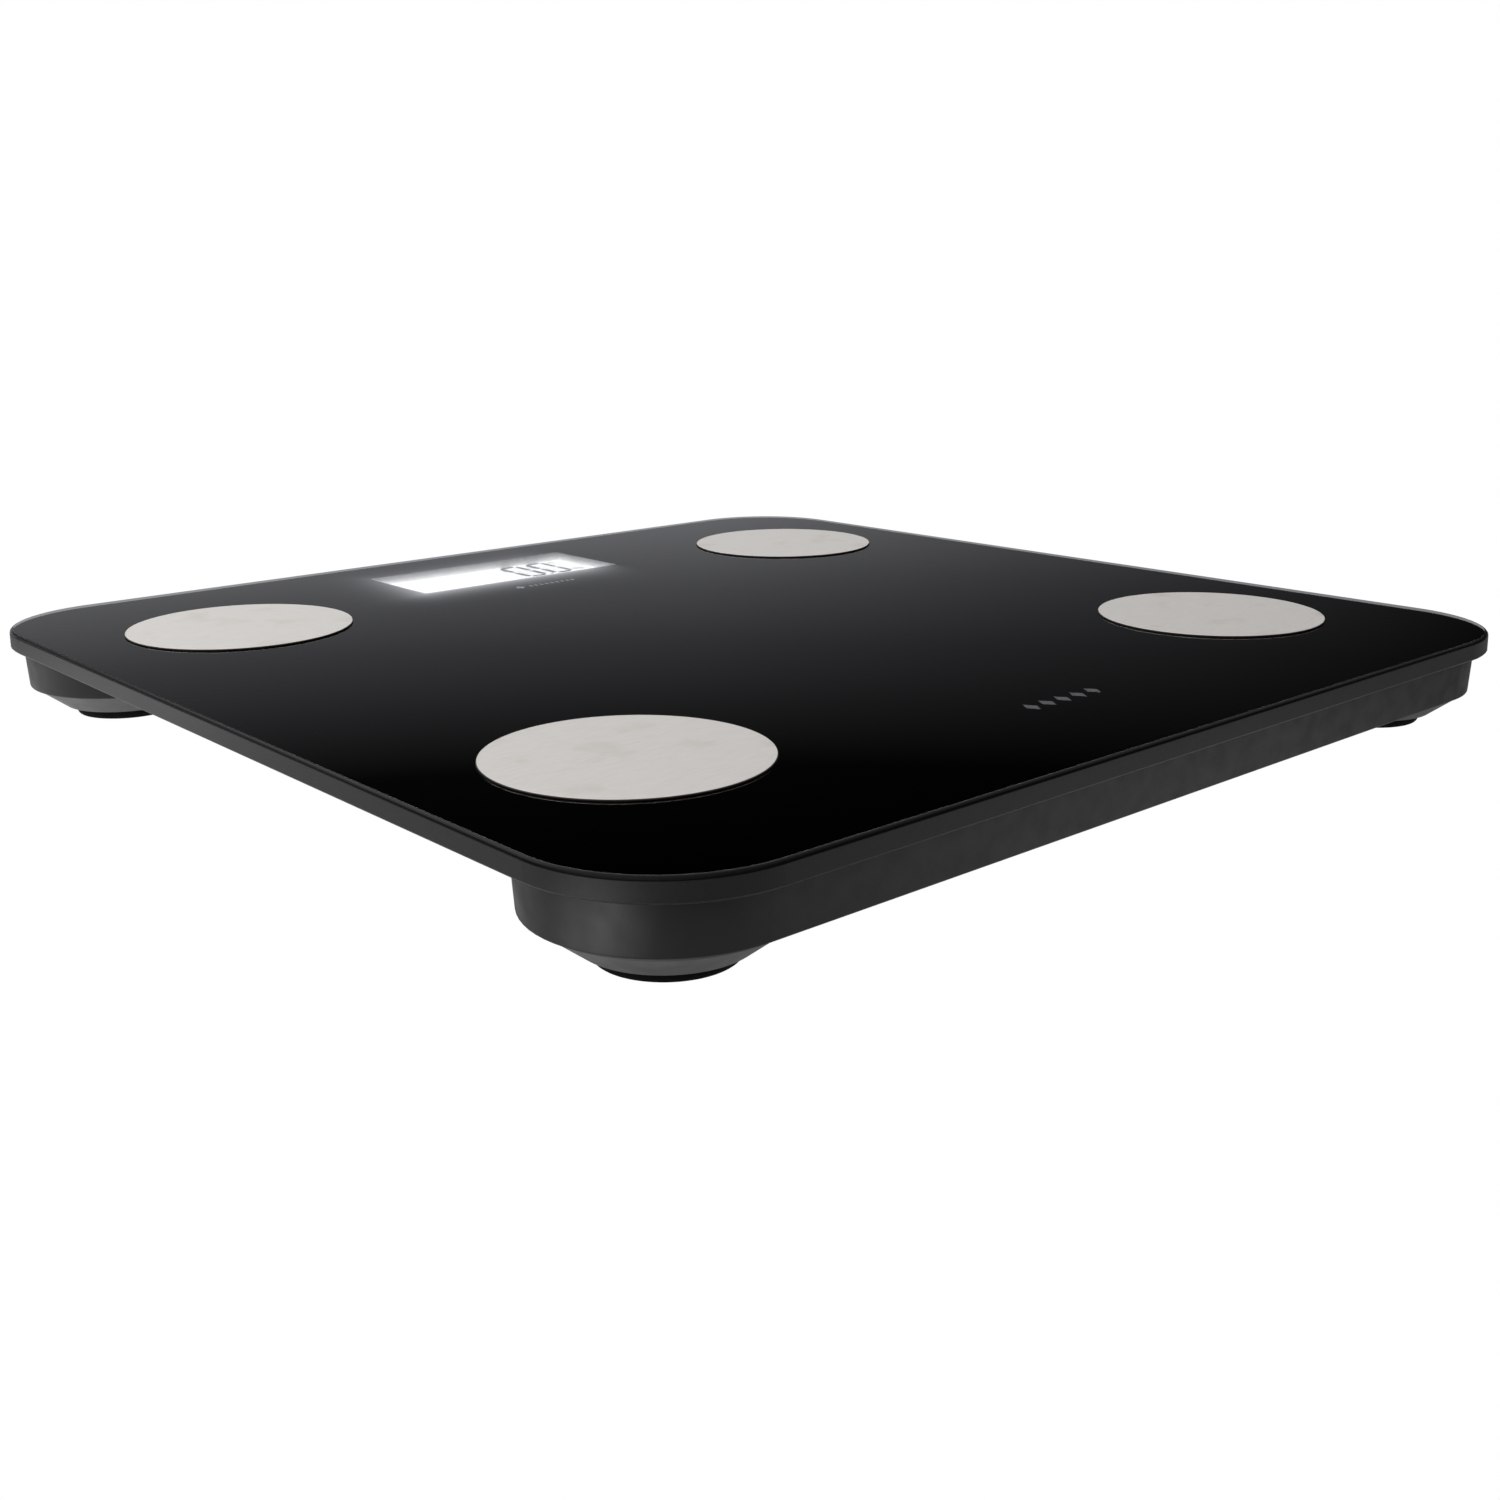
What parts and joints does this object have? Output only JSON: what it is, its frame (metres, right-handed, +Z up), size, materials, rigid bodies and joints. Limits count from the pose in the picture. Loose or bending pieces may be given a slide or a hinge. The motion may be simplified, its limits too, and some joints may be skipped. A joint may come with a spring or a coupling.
{
  "type": "digital bathroom scale",
  "caption": "Slim square body scale: black-backed glass platform with round steel electrodes and a lit display, on twin housing bars with sprung load-cell feet.",
  "frame": {"origin": "on the floor, under the middle of the square platform", "axes": "+Z up, +Y towards the edge that holds the display, +X to the user's right"},
  "size_m": [0.3, 0.3, 0.0255],
  "materials": {
    "clear_glass": "tempered float glass, polished faces, ground edges",
    "black_print": "opaque black enamel fired on the underside of the glass",
    "adhesive": "transfer adhesive",
    "brass_lug": "tinned brass",
    "plated_steel": "zinc-plated",
    "electrode_steel": "finely brushed stainless steel",
    "bar_plastic": "moulded, fine texture, charcoal",
    "foam_tape": "closed-cell foam tape",
    "collar_plastic": "moulded, satin, dark grey",
    "cap_plastic": "moulded, matte",
    "pad_rubber": "non-slip rubber, matte",
    "load_cell_steel": "punched spring steel",
    "gauge_silicone": "silicone blob over the gauge",
    "white_plastic": "moulded, white",
    "lcd_glass": "backlit liquid-crystal panel",
    "light_guide": "clear acrylic with a diffusing face",
    "lamp_board": "lamp strip",
    "flex_film": "polyimide flexible circuit",
    "board_green": "circuit board with solder mask",
    "chip_black": "moulded package",
    "shield_steel": "tinned shield can",
    "capacitor_can": "aluminium can",
    "ivory_plastic": "nylon",
    "button_plastic": "moulded, satin",
    "door_plastic": "moulded, fine texture, charcoal",
    "battery_sleeve": "printed sleeve on a steel can, copper and black",
    "contact_steel": "nickel-plated spring steel",
    "duct_plastic": "extruded trough, black",
    "lead_red": "insulated stranded wire",
    "lead_black": "insulated stranded wire",
    "lcd_ink": "darkened liquid-crystal segments",
    "print_marks": "pale grey enamel marks in the print"
  },
  "bodies": {
    "platform": {"glass_platform": "clear_glass", "back_print": "black_print", "electrode_front_left": "electrode_steel", "electrode_front_right": "electrode_steel", "electrode_rear_left": "electrode_steel", "electrode_rear_right": "electrode_steel", "electrode_adhesive": "adhesive", "electrode_terminals": "brass_lug", "electrode_nuts": "plated_steel", "front_bar": "bar_plastic", "rear_bar": "bar_plastic", "front_bar_seal": "foam_tape", "rear_bar_seal": "foam_tape", "foot_collar_front_left": "collar_plastic", "foot_collar_front_right": "collar_plastic", "foot_collar_rear_left": "collar_plastic", "foot_collar_rear_right": "collar_plastic", "load_cell_front_left": "load_cell_steel", "load_cell_front_right": "load_cell_steel", "load_cell_rear_left": "load_cell_steel", "load_cell_rear_right": "load_cell_steel", "cell_holder_front_left": "white_plastic", "cell_holder_front_right": "white_plastic", "cell_holder_rear_left": "white_plastic", "cell_holder_rear_right": "white_plastic", "strain_gauges": "gauge_silicone", "light_frame": "white_plastic", "lcd_panel": "lcd_glass", "light_guide": "light_guide", "reflector": "white_plastic", "led_bar": "lamp_board", "display_flex": "flex_film", "main_board": "board_green", "board_chips": "chip_black", "wireless_module": "shield_steel", "board_capacitors": "capacitor_can", "board_connectors": "ivory_plastic", "board_screws": "plated_steel", "tact_switch": "chip_black", "battery_cell_front": "battery_sleeve", "battery_cell_middle": "battery_sleeve", "battery_cell_rear": "battery_sleeve", "contact_plates": "contact_steel", "contact_springs": "contact_steel", "cable_duct": "duct_plastic", "front_cell_leads": "lead_red", "rear_cell_leads": "lead_red", "electrode_leads": "lead_black", "battery_leads": "lead_black"},
    "foot_front_left": {"foot_cap_front_left": "cap_plastic", "foot_pad_front_left": "pad_rubber"},
    "foot_front_right": {"foot_cap_front_right": "cap_plastic", "foot_pad_front_right": "pad_rubber"},
    "foot_rear_left": {"foot_cap_rear_left": "cap_plastic", "foot_pad_rear_left": "pad_rubber"},
    "foot_rear_right": {"foot_cap_rear_right": "cap_plastic", "foot_pad_rear_right": "pad_rubber"},
    "unit_key": {"unit_button": "button_plastic", "tact_plunger": "ivory_plastic"},
    "battery_cover": {"battery_door": "door_plastic"}
  },
  "joints": [
    {"name": "foot_front_left_press", "type": "slide", "parent": "platform", "child": "foot_front_left", "axis": [0, 0, 1], "range_m": [0, 0.0006], "stiffness_N_per_m": 1000, "springref_m": -0.0045},
    {"name": "foot_front_right_press", "type": "slide", "parent": "platform", "child": "foot_front_right", "axis": [0, 0, 1], "range_m": [0, 0.0006], "stiffness_N_per_m": 1000, "springref_m": -0.0045},
    {"name": "foot_rear_left_press", "type": "slide", "parent": "platform", "child": "foot_rear_left", "axis": [0, 0, 1], "range_m": [0, 0.0006], "stiffness_N_per_m": 1000, "springref_m": -0.0045},
    {"name": "foot_rear_right_press", "type": "slide", "parent": "platform", "child": "foot_rear_right", "axis": [0, 0, 1], "range_m": [0, 0.0006], "stiffness_N_per_m": 1000, "springref_m": -0.0045},
    {"name": "unit_button_press", "type": "slide", "parent": "platform", "child": "unit_key", "axis": [0, 0, 1], "range_m": [0, 0.0003], "stiffness_N_per_m": 800, "springref_m": -0.0003},
    {"name": "battery_door_slide", "type": "slide", "parent": "platform", "child": "battery_cover", "axis": [-1, 0, 0], "range_m": [0, 0.053]}
  ]
}
